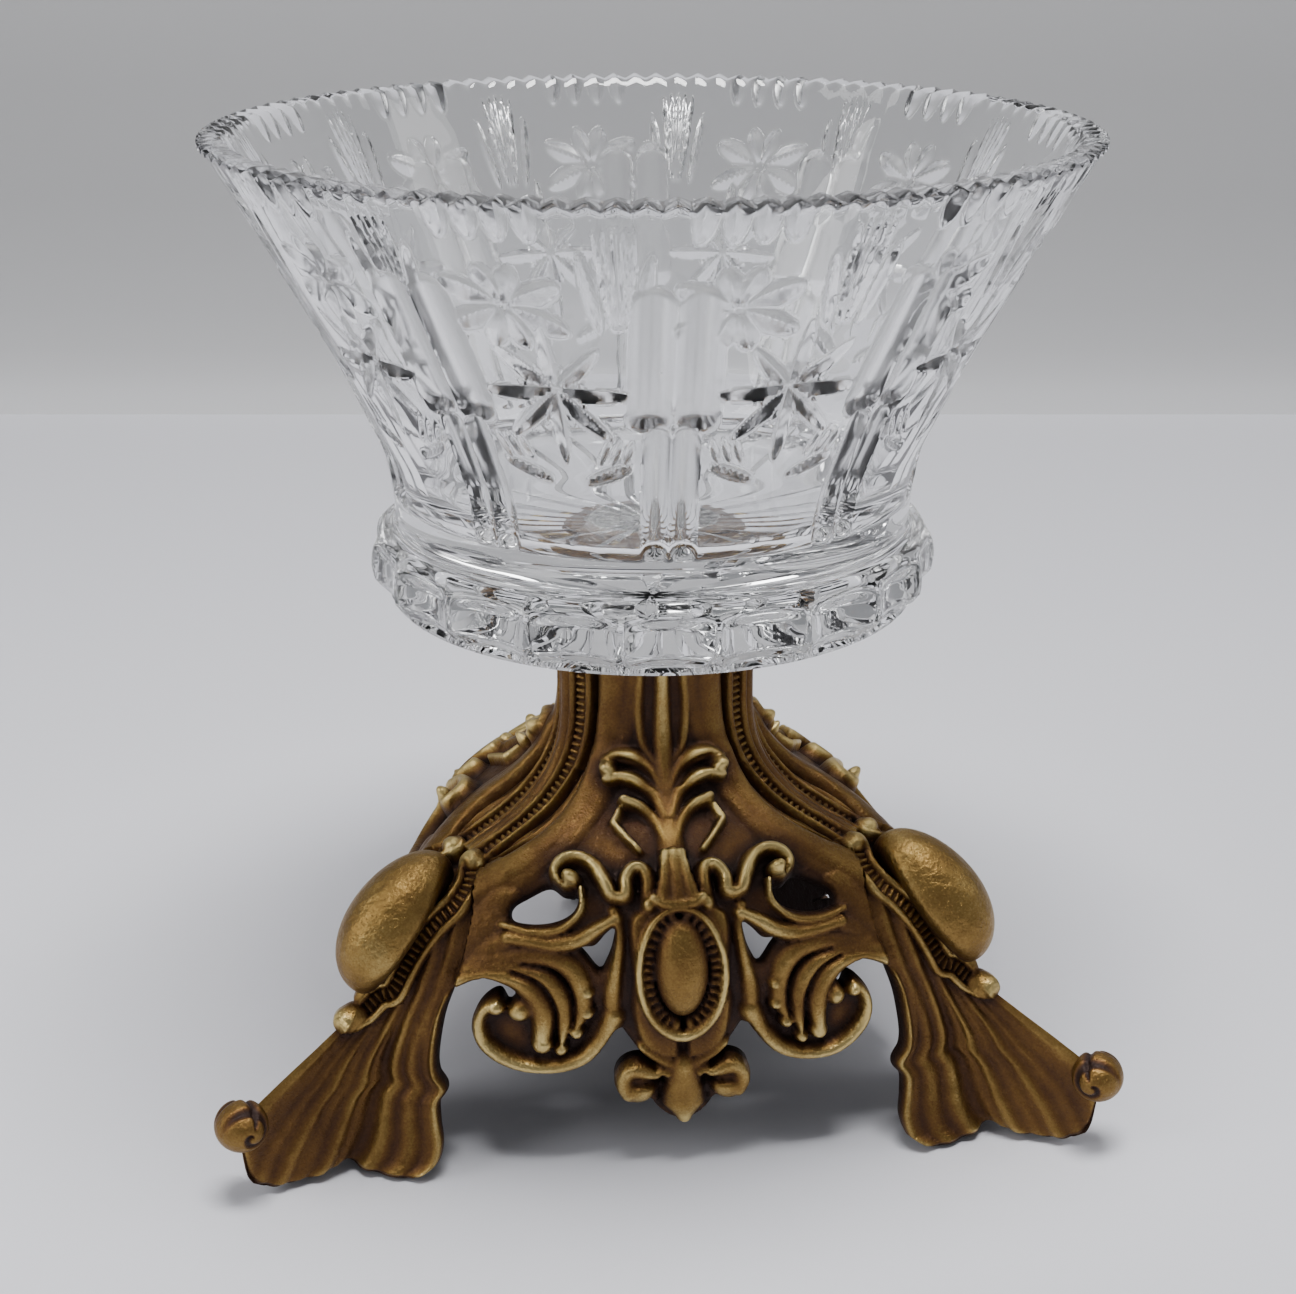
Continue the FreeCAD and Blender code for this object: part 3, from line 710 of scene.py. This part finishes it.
def join(parts):
    """Several (points, faces, attributes) sets as one."""
    vertices, faces, attributes, start = [], [], {}, 0
    for points, cells, extra in parts:
        vertices.append(points)
        faces += [tuple(int(i) + start for i in c) for c in cells]
        for key, values in extra.items():
            attributes.setdefault(key, []).append(values)
        start += len(points)
    return np.vstack(vertices), faces, {k: np.concatenate(v) for k, v in attributes.items()}


# ---------------- bowl

# the bowl is drawn with its seat at BOWL_SEAT and lifted onto the foot
BOWL_SEAT = 75.6
BOWL_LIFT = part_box("crystal_bowl")[0][2] / MM - BOWL_SEAT
BOWL_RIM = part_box("crystal_bowl")[1][2] / MM - BOWL_LIFT
BOWL_OUTER = [(46.8, 79.2), (46.8, 82.6), (46.2, 84.9), (44.6, 86.3), (42.8, 87.3), (42.5, 90), (43.0, 95),
              (44.2, 101), (46.8, 107), (51.6, 117.3), (58.6, 130.0), (66.5, 144.3), (69.4, 149.4)]
BOWL_FLOOR = BOWL_SEAT + 15.0


def groove(u, v, start, end, half, deep):
    """V groove that is deepest in its middle and runs out to nothing at both ends."""
    ax, ay = start
    bx, by = end
    dx, dy = bx - ax, by - ay
    size = math.hypot(dx, dy)
    along = ((u - ax) * dx + (v - ay) * dy) / size ** 2
    off = np.abs((u - ax) * dy - (v - ay) * dx) / size
    belly = np.sqrt(np.clip(4 * along * (1 - along), 0, 1))
    return np.clip(deep * belly - off * deep / half, 0, None)


def star(u, v, centre, rays, reach, half, deep):
    """Crossed V grooves through one point; their half lengths are taken in turn from reach."""
    cut = np.zeros_like(u)
    for k in range(rays):
        a = math.pi * k / rays
        x, y = reach[k % len(reach)] * math.sin(a), reach[k % len(reach)] * math.cos(a)
        cut = np.maximum(cut, groove(u, v, (centre[0] - x, centre[1] - y), (centre[0] + x, centre[1] + y),
                                     half, deep))
    return cut


RIM_NOTCHES, THUMBPRINTS, BASE_RAYS = 110, 20, 24
LOWER_REPEATS, UPPER_REPEATS = 10, 12
RING_RADIUS = 46.8
SOLE_RADIUS = 43.6
FLARE = math.radians(29)
LOWER_TURN = math.radians(-2.7)
UPPER_TURN = math.radians(-10.2)


def from_repeat(theta, turn, count):
    """Angle from the middle of the nearest of some equal repeats."""
    pitch = 2 * math.pi / count
    return (theta - turn + pitch / 2) % pitch - pitch / 2


def wall_cut(theta, height, radius):
    """Depth of the cutting in the flared wall, at an angle and height."""
    cuts = [np.zeros_like(theta)]

    def vee(across, start, end, half, deep):
        cuts.append(groove(across, height, start, end, half, deep))

    # lower repeats: broad flute pairs, narrow flute pairs under them, stars between
    u = from_repeat(theta, LOWER_TURN, LOWER_REPEATS) * radius
    half_pitch = math.pi / LOWER_REPEATS * radius
    far = np.abs(u)
    q = np.clip(1 - ((far - 3.4) / 3.4) ** 2, 0, 1)
    top = 135.5 + 3.0 * np.sqrt(q)
    low = 117.0 - 2.0 * np.sqrt(q)
    body = ramp((top - height) / 2.2) * ramp((height - low) / 2.2)
    cuts.append(1.5 * q * body)
    q = np.clip(1 - ((far - 2.1) / 2.1) ** 2, 0, 1)
    body = ramp((114.0 + 2.2 * np.sqrt(q) - height) / 1.6) * ramp((height - 93.4) / 3.0)
    cuts.append(1.5 * q * body)
    w = np.where(u > 0, u - half_pitch, u + half_pitch)
    cuts.append(star(w, height, (0, 121.0), 4, (11.5, 10.5), 1.35, 1.5))
    cuts.append(star(w, height, (0, 121.0), 8, (5.2,), 0.6, 0.7))
    for side in (-1, 1):
        vee(w, (side * 9.4, 109.4), (side * 2.4, 106.4), 1.0, 0.9)
        for k in range(3):
            vee(w, (side * (10.2 - 1.7 * k), 113.6), (side * (8.2 - 1.7 * k), 109.6), 0.45, 0.5)
    # upper repeats, under the rim: tall fans, petal flowers, and V cuts that hang from the edge
    u = from_repeat(theta, UPPER_TURN, UPPER_REPEATS) * radius
    half_pitch = math.pi / UPPER_REPEATS * radius
    w = np.where(u > 0, u - half_pitch, u + half_pitch)
    for k in range(-2, 3):
        vee(u, (0.35 * k, 131.6), (1.35 * k, 147.2 - 0.5 * abs(k)), 0.62, 1.0)
    for side in (-1, 1):
        vee(u, (side * 2.6, 131.4), (side * 4.8, 143.0), 1.0, 1.0)
    for k in range(8):
        angle = (k + 0.5) * math.pi / 4
        x, y = math.sin(angle), math.cos(angle)
        reach = 9.4 if abs(x) > 0.8 else 6.6
        vee(w, (0.8 * x, 134.6 + 0.8 * y), (reach * x, 134.6 + reach * y), 1.9, 1.15)
    for place in (-6.0, -2.0, 2.0, 6.0):
        vee(w, (place, 154.0), (place * 1.05, 144.6), 1.9, 1.3)
    return np.maximum.reduce(cuts)


def rim_teeth(theta):
    """Drop of the rim's edge: notches of about four millimetres."""
    phase = theta * RIM_NOTCHES / (2 * math.pi) % 1
    return 1.15 * (1 - np.abs(2 * phase - 1)) ** 1.2


def ring_cut(theta, height):
    """Depth of the base ring's thumbprints, and the mitres between them."""
    u = from_repeat(theta, LOWER_TURN, THUMBPRINTS) * RING_RADIUS
    body = ramp((86.2 - height) / 3.0) * ramp((height - 75.2) / 1.6)
    print_cut = 2.1 * np.clip(1 - (u / 6.9) ** 2, 0, 1) * body
    w = np.abs(np.abs(u) - 7.35)
    mitre = np.clip(2.6 * ramp((83.4 - height) / 7.5) - w * 1.5, 0, None)
    return np.maximum(print_cut, mitre)


def turn_grid(radii, heights, theta, shrink=0, lower=0):
    """Rings of points round the axis, from (radius, height) samples."""
    r = np.asarray(radii, float)[:, None] - shrink + 0 * theta
    z = np.asarray(heights, float)[:, None] - lower + 0 * theta
    # theta is measured from the front (-Y) towards +X
    return np.stack([r * np.sin(theta), -r * np.cos(theta), z], -1)


def build_bowl():
    """Cut bowl: outer wall with its cutting, serrated rim, smooth inside, star-cut base."""
    count = 1500
    outer = smooth_path(BOWL_OUTER, 24)
    run = np.concatenate([[0], np.cumsum(np.linalg.norm(np.diff(outer, axis=0), axis=1))])
    steps = 170
    at = np.linspace(0, run[-1], steps)
    radii, heights = np.interp(at, run, outer[:, 0]), np.interp(at, run, outer[:, 1])
    theta = np.linspace(0, 2 * math.pi, count, endpoint=False)
    tt, zz = np.meshgrid(theta, heights)
    _, rr = np.meshgrid(theta, radii)
    cut = np.where(zz > 88, wall_cut(tt, zz, rr), 0)
    cut = cut * ramp((zz - 90.4) / 2.0)
    cut = np.where(zz < 86.4, ring_cut(tt, zz), cut)
    # in the flared part a cut also moves the surface up, as it is square to the wall
    flared = ramp((zz - 100) / 12)
    wall = turn_grid(radii, heights, theta, cut * (1 - 0.13 * flared), -cut * flared * math.sin(FLARE) * 0.9)
    notch = rim_teeth(theta)
    rim_rings = [turn_grid([radius], [level], theta, 0, notch * share) for radius, level, share in (
        (69.9, 150.3, 0.85), (69.2, BOWL_RIM, 1.0), (66.2, BOWL_RIM, 0.55), (65.5, 150.1, 0.35))]
    inner_profile = smooth_path([(64.6, 148.4), (58.0, 136.5), (50.5, 123.0), (43.0, 109.5), (39.4, 102.0),
                                 (37.6, 96.5), (35.0, 92.6), (30.5, 91.0), (22.0, 90.6), (12.0, 90.6)], 7)
    inner = turn_grid(inner_profile[:, 0], inner_profile[:, 1], theta)
    base_r = np.linspace(SOLE_RADIUS, 3.0, 40)
    tb, rb = np.meshgrid(theta, base_r)
    ray = np.clip(1 - np.abs(tb * BASE_RAYS / (2 * math.pi) % 1 - 0.5) * 5.0, 0, 1)
    star_cut = 1.1 * ray * ramp((rb - 4) / 6) * ramp((39 - rb) / 5)
    sole = turn_grid(base_r, np.full(len(base_r), BOWL_SEAT), theta, 0, -star_cut)
    bevel_h = np.linspace(BOWL_SEAT, 79.0, 8)[:-1]
    bevel_r = np.linspace(SOLE_RADIUS, RING_RADIUS - 0.05, 8)[:-1]
    tv, zv = np.meshgrid(theta, bevel_h)
    bevel = turn_grid(bevel_r, bevel_h, theta, ring_cut(tv, zv) * ramp((zv - BOWL_SEAT) / 1.2))
    stack = np.concatenate([sole[::-1], bevel[1:], wall] + rim_rings + [inner], axis=0)
    rows = len(stack)
    points = stack.reshape(-1, 3)
    index = np.arange(rows * count).reshape(rows, count)
    right = np.roll(index, -1, axis=1)
    quads = np.stack([index[:-1], right[:-1], right[1:], index[1:]], -1).reshape(-1, 4)
    bottom, top_centre = len(points), len(points) + 1
    points = np.vstack([points, [(0, 0, BOWL_SEAT), (0, 0, BOWL_FLOOR)]])
    faces = [tuple(q) for q in quads]
    faces += [(right[0, j], index[0, j], bottom) for j in range(count)]
    faces += [(index[-1, j], right[-1, j], top_centre) for j in range(count)]
    # the cuts are left a little matt
    frost = np.zeros((rows, count))
    first = len(sole) + len(bevel) - 1
    frost[first:first + len(wall)] = ramp(cut / 0.45) * ramp((zz - 100) / 6)
    frost = np.concatenate([frost.reshape(-1), [0, 0]])
    return points + (0, 0, BOWL_LIFT), faces, {"frost": frost}


# ---------------- materials

class Nodes:
    """A new material's node tree, with short ways to add the nodes used here."""

    def __init__(self, name):
        self.material = bpy.data.materials.new(name)
        self.material.use_nodes = True
        self.tree = self.material.node_tree
        self.shader = next(n for n in self.tree.nodes if n.type == "BSDF_PRINCIPLED")

    def feed(self, node, inputs):
        """Give a node's inputs their values, or the sockets that drive them."""
        for key, value in inputs.items():
            if isinstance(value, bpy.types.NodeSocket):
                self.tree.links.new(value, node.inputs[key])
            else:
                node.inputs[key].default_value = value

    def add(self, kind, inputs=None, **settings):
        node = self.tree.nodes.new(kind)
        for key, value in settings.items():
            setattr(node, key, value)
        self.feed(node, inputs or {})
        return node

    def texture(self, kind, output, **values):
        """Texture laid out on the piece's own coordinates."""
        coords = self.add("ShaderNodeTexCoord").outputs["Object"]
        return self.add(kind, {"Vector": coords, **values}).outputs[output]

    def attribute(self, name):
        return self.add("ShaderNodeAttribute", attribute_name=name).outputs["Fac"]

    def remap(self, source, low, high, to_low=0.0, to_high=1.0):
        return self.add("ShaderNodeMapRange", {"Value": source, "From Min": low, "From Max": high,
                                               "To Min": to_low, "To Max": to_high}).outputs["Result"]

    def scaled(self, source, factor, rest):
        """source * factor + rest"""
        values = {0: source, 1: factor, 2: rest}
        return self.add("ShaderNodeMath", values, operation="MULTIPLY_ADD").outputs["Value"]

    def bump(self, height, strength, distance, **below):
        values = {"Height": height, "Strength": strength, "Distance": distance, **below}
        return self.add("ShaderNodeBump", values).outputs["Normal"]

    def colours(self, source, stops):
        """Colour ramp from (place, colour) pairs."""
        node = self.add("ShaderNodeValToRGB", {"Fac": source})
        elements = node.color_ramp.elements
        while len(elements) > 1:
            elements.remove(elements[-1])
        elements[0].position, elements[0].color = stops[0][0], (*stops[0][1], 1)
        for place, colour in stops[1:]:
            elements.new(place).color = (*colour, 1)
        return node.outputs["Color"]


# gilt colours from dark hollows to bright tops: brown patina and rubbed gilding, and also painted shade in
# the hollows and painted highlight on the tops
GILT_STOPS = [(0.08, (0.020, 0.007, 0.004)), (0.30, (0.062, 0.026, 0.010)), (0.50, (0.128, 0.064, 0.020)),
              (0.70, (0.250, 0.156, 0.048)), (0.92, (0.54, 0.41, 0.165))]
BOND_STOPS = [(0.35, (0.16, 0.14, 0.12)), (0.5, (0.55, 0.53, 0.50)), (0.7, (0.90, 0.89, 0.87))]


def gilt_metal():
    """Antique gilding: colour set by the relief, dark in the hollows and bright on the tops, partly brown
    patina and rubbed gilding and partly painted shade and painted highlight; fine pitting.
    """
    make = Nodes("antique_gilt")
    fine = make.texture("ShaderNodeTexNoise", "Fac", Scale=2600.0, Detail=4.0, Roughness=0.65)
    patch = make.texture("ShaderNodeTexNoise", "Fac", Scale=95.0, Detail=5.0, Roughness=0.6)
    chased = make.texture("ShaderNodeTexNoise", "Fac", Scale=420.0, Detail=3.0, Roughness=0.55)
    pits = make.texture("ShaderNodeTexVoronoi", "Distance", Scale=1500.0)
    # relief with patches picks the colour: painted shade in the hollows and painted highlight on the tops, as
    # well as patina and rubbing
    wear_and_painted_light = make.scaled(patch, 0.42, make.remap(make.attribute("relief"), -1.1, 1.3))
    wear_and_painted_light = make.scaled(make.scaled(fine, 0.30, wear_and_painted_light), 1.0, -0.36)
    pitting = make.bump(make.scaled(fine, 0.6, make.remap(pits, 0.0, 0.28)), 0.45, 0.0002)
    make.feed(make.shader, {
        "Base Color": make.colours(wear_and_painted_light, GILT_STOPS),
        "Roughness": make.remap(wear_and_painted_light, 0.15, 0.9, 0.62, 0.36),
        "Metallic": make.remap(wear_and_painted_light, 0.1, 0.6, 0.55, 1.0),
        "Normal": make.bump(chased, 0.5, 0.0009, Normal=pitting),
    })
    return make.material


def crystal():
    """Clear lead crystal with the faintest polishing waviness, a little matt in the cuts."""
    make = Nodes("cut_crystal")
    haze = make.texture("ShaderNodeTexNoise", "Fac", Scale=160.0, Detail=3.0)
    wave = make.texture("ShaderNodeTexNoise", "Fac", Scale=55.0, Detail=2.0)
    make.feed(make.shader, {
        "Base Color": (0.985, 0.99, 0.995, 1),
        "Transmission Weight": 1.0,
        "IOR": 1.54,
        "Roughness": make.scaled(make.attribute("frost"), 0.24, make.remap(haze, 0.3, 0.75, 0.0, 0.035)),
        "Normal": make.bump(wave, 0.12, 0.0006),
    })
    return make.material


def clear_bond():
    """Clear adhesive with trapped bubbles over the metal."""
    make = Nodes("bubbled_adhesive")
    bubbles = make.texture("ShaderNodeTexVoronoi", "Distance", Scale=900.0)
    patch = make.texture("ShaderNodeTexNoise", "Fac", Scale=260.0, Detail=4.0, Roughness=0.7)
    make.feed(make.shader, {
        "Base Color": make.colours(patch, BOND_STOPS),
        "Roughness": 0.22,
        "Specular IOR Level": 0.8,
        "Normal": make.bump(bubbles, 1.0, 0.0012),
    })
    return make.material


GILT, CRYSTAL, BOND = gilt_metal(), crystal(), clear_bond()


# ---------------- pieces

def show(piece, node, material):
    """Dress a visual piece and let it stand for its CAD node."""
    piece.data.materials.clear()
    piece.data.materials.append(material)
    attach(piece, "root")
    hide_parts(node)


def casting_set(kind, sides, mesh):
    """One casting and its turned copies, each standing for its own CAD node."""
    first = new_object("%s_%s_casting" % (kind, sides[0]), *mesh, crease=70)
    others = [turned_copy(first, "%s_%s_casting" % (kind, side), turns)
              for turns, side in enumerate(sides) if turns]
    for piece, side in zip([first] + others, sides):
        show(piece, "%s_%s" % (kind, side), GILT)


casting_set("panel", ("front", "right", "left"), build_panel_mesh())
casting_set("leg", ("right", "rear", "left"), join([build_leg_mesh(), build_knee(), build_toe()]))


def ring_stack(outline, layers):
    """Closed solid from one outline, scaled by a share at each of some heights."""
    count = len(outline)
    points = np.vstack([np.column_stack([outline * share, np.full(count, level)]) for share, level in layers])
    faces = []
    for i in range(len(layers) - 1):
        for j in range(count):
            k = (j + 1) % count
            faces.append((i * count + j, i * count + k, (i + 1) * count + k, (i + 1) * count + j))
    faces.append(tuple(range(count))[::-1])
    faces.append(tuple((len(layers) - 1) * count + j for j in range(count)))
    return points, faces


def build_cap():
    """Bowed three-sided plate on the neck, with softened edges."""
    half = float(ridge_across(0.0))
    side = wall_point(np.linspace(-half, half, 25), np.zeros(25))[:-1, :2]
    outline = []
    for k in range(SIDES):
        a = 2 * math.pi * k / SIDES
        outline.append(side @ np.array([[math.cos(a), math.sin(a)], [-math.sin(a), math.cos(a)]]))
    points, faces = ring_stack(np.vstack(outline), (
        (0.90, CAP_LOW), (0.985, CAP_LOW + 0.1), (1.0, CAP_LOW + 0.6),
        (1.0, CAP_HIGH - 0.6), (0.985, CAP_HIGH - 0.15), (0.95, CAP_HIGH)))
    return points, faces, {"relief": np.full(len(points), 0.1)}


def build_bond():
    """Uneven disc of adhesive between the cap and the bowl."""
    low, high = (corner[2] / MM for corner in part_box("adhesive_bed"))
    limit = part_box("adhesive_bed")[1][0] / MM
    angle = np.linspace(0, 2 * math.pi, 160, endpoint=False)
    waves = 0.035 * np.sin(3 * angle + 0.7) + 0.02 * np.sin(7 * angle) + 0.012 * np.sin(13 * angle)
    edge = limit * (0.93 + waves)
    outline = np.column_stack([edge * np.cos(angle), edge * np.sin(angle)])
    points, faces = ring_stack(outline, ((0.97, low), (1.0, (low + high) / 2), (0.97, high)))
    return points, faces, {}


show(new_object("neck_cap_plate", *build_cap(), crease=40), "neck_cap", GILT)
show(new_object("adhesive_disc", *build_bond(), crease=40), "adhesive_bed", BOND)
show(new_object("crystal_bowl_cut", *build_bowl(), crease=38), "crystal_bowl", CRYSTAL)


# ---------------- stage, light, camera

def plane(name, centre, size, turn, material):
    mesh = bpy.data.meshes.new(name)
    x, y = size[0] / 2, size[1] / 2
    mesh.from_pydata([(-x, -y, 0), (x, -y, 0), (x, y, 0), (-x, y, 0)], [], [(0, 1, 2, 3)])
    piece = bpy.data.objects.new(name, mesh)
    piece.location, piece.rotation_euler = centre, turn
    piece.data.materials.append(material)
    bpy.context.scene.collection.objects.link(piece)


def plain(name, colour, roughness):
    make = Nodes(name)
    make.feed(make.shader, {"Base Color": (*colour, 1), "Roughness": roughness, "Specular IOR Level": 0.2})
    return make.material


# painted light on the wall: brightest at its foot, darkest a little above it, lighter again towards the top
BACKDROP_STOPS = [(place, (tone, tone, tone * 1.01)) for place, tone in (
    (0.0, 0.60), (0.010, 0.575), (0.020, 0.51), (0.032, 0.45), (0.05, 0.405), (0.075, 0.365),
    (0.10, 0.335), (0.15, 0.32), (0.22, 0.345), (1.0, 0.42))]


def backdrop_material():
    """Wall with painted light: a bright band painted along its foot by the table's far edge, darker just
    above it and a little lighter towards the top; seen from its front only.
    """
    make = Nodes("backdrop")
    coords = make.add("ShaderNodeTexCoord").outputs["Object"]
    level = make.add("ShaderNodeSeparateXYZ", {"Vector": coords}).outputs["Y"]
    make.feed(make.shader, {
        "Base Color": make.colours(make.remap(level, -WALL_HIGH / 2, WALL_HIGH / 2), BACKDROP_STOPS),
        "Roughness": 0.9,
        "Specular IOR Level": 0.0,
    })
    behind = make.add("ShaderNodeNewGeometry").outputs["Backfacing"]
    clear = make.add("ShaderNodeBsdfTransparent").outputs["BSDF"]
    mix = make.add("ShaderNodeMixShader", {"Fac": behind, 1: make.shader.outputs["BSDF"], 2: clear})
    output = next(n for n in make.tree.nodes if n.type == "OUTPUT_MATERIAL")
    make.feed(output, {"Surface": mix.outputs["Shader"]})
    return make.material


WALL_Y, WALL_HIGH = 0.43, 0.8
VIEW_TURN = math.radians(-5.88)
plane("table_top", (0, WALL_Y - 0.85, 0), (3.4, 2.1), (0, 0, VIEW_TURN),
      plain("table_white", (0.62, 0.62, 0.66), 0.45))
plane("back_wall", (0, WALL_Y, WALL_HIGH / 2), (4.0, WALL_HIGH), (math.radians(90), 0, VIEW_TURN),
      backdrop_material())


def soft_light(name, location, target, size, watts):
    lamp = bpy.data.lights.new(name, "AREA")
    lamp.shape, lamp.size, lamp.size_y = "RECTANGLE", size[0], size[1]
    lamp.energy = watts
    holder = bpy.data.objects.new(name, lamp)
    holder.location = location
    aim = mathutils.Vector(target) - mathutils.Vector(location)
    holder.rotation_euler = aim.to_track_quat("-Z", "Y").to_euler()
    bpy.context.scene.collection.objects.link(holder)


soft_light("overhead", (0.03, -0.16, 0.92), (0, 0, 0.05), (0.40, 0.24), 12.5)
soft_light("window_left", (-0.9, -0.25, 0.55), (0, 0, 0.08), (0.5, 0.7), 4.6)
soft_light("window_right", (0.9, -0.1, 0.6), (0, 0, 0.08), (0.3, 0.6), 1.2)

world = bpy.data.worlds.new("room")
world.use_nodes = True
world.node_tree.nodes["Background"].inputs["Color"].default_value = (0.80, 0.82, 0.86, 1)
world.node_tree.nodes["Background"].inputs["Strength"].default_value = 0.31
bpy.context.scene.world = world

camera = bpy.data.objects.new("camera", bpy.data.cameras.new("camera"))
camera.data.sensor_width = 36.0
camera.data.lens = 59.44
camera.data.clip_start, camera.data.clip_end = 0.01, 20
camera.location = (-0.0355, -0.3381 + AXIS_Y * MM, 0.2122)
camera.rotation_euler = (math.radians(90 - 21.5), 0, VIEW_TURN)
bpy.context.scene.collection.objects.link(camera)
bpy.context.scene.camera = camera

bpy.context.view_layer.update()
